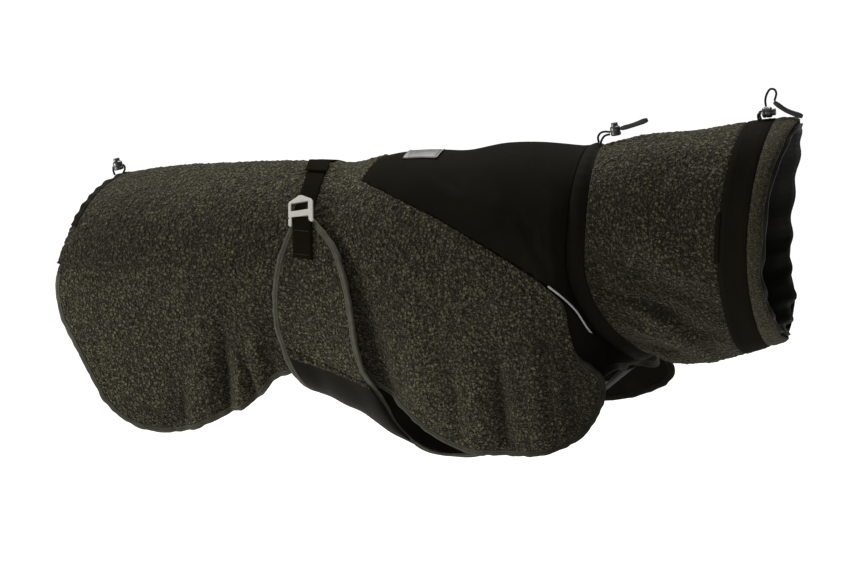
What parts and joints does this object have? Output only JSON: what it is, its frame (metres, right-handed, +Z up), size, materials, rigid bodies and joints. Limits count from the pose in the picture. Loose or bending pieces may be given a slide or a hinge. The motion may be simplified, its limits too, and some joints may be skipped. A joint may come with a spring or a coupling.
{
  "type": "dog winter coat",
  "caption": "Pile dog coat in its worn, hollow shape: woven yoke, tall collar, belly flap on a buckled strap, open at neck, legs and rear.",
  "frame": {"origin": "inner face of the cloth on the middle of the back, under the belly strap, where the wearer's back holds the coat", "axes": "+X from the tail to the neck, +Z up, +Y to the wearer's left"},
  "size_m": [0.778, 0.2103, 0.3949],
  "materials": {
    "pile": "curly pile, matt",
    "woven": "smooth close weave with a low sheen",
    "binding": "folded tape, matt",
    "webbing": "ribbed webbing, matt",
    "elastic": "gathered elastic tape, matt",
    "facing": "thin woven lining, low sheen",
    "aluminium": "cast and satin",
    "reflective": "plain reflective cloth, no print",
    "lock_plastic": "dark, satin",
    "cord": "braided, matt"
  },
  "bodies": {
    "root": {"back_panel": "pile", "back_patch": "reflective", "back_strap": "webbing", "belly_panel": "woven", "buckle_left": "aluminium", "buckle_right": "aluminium", "chest_hem_binding": "binding", "chest_panel": "woven", "collar": "pile", "collar_band": "woven", "collar_band_join": "woven", "collar_edge": "pile", "collar_facing": "facing", "cord_collar_1": "cord", "cord_collar_2": "cord", "cord_end_collar": "cord", "cord_end_neck": "cord", "cord_loop": "cord", "cord_neck_1": "cord", "cord_neck_2": "cord", "cord_tail_1": "cord", "cord_tail_2": "cord", "hem_binding_left": "binding", "hem_binding_right": "binding", "lock_collar": "lock_plastic", "lock_neck": "lock_plastic", "lock_tail": "lock_plastic", "neck_casing": "woven", "piping_left": "reflective", "piping_right": "reflective", "rear_elastic": "elastic", "strap_keeper": "webbing", "tab_left": "webbing", "tab_right": "webbing", "wing_binding_left": "binding", "wing_binding_right": "binding", "wing_left": "pile", "wing_right": "pile", "yoke": "woven"}
  },
  "joints": []
}
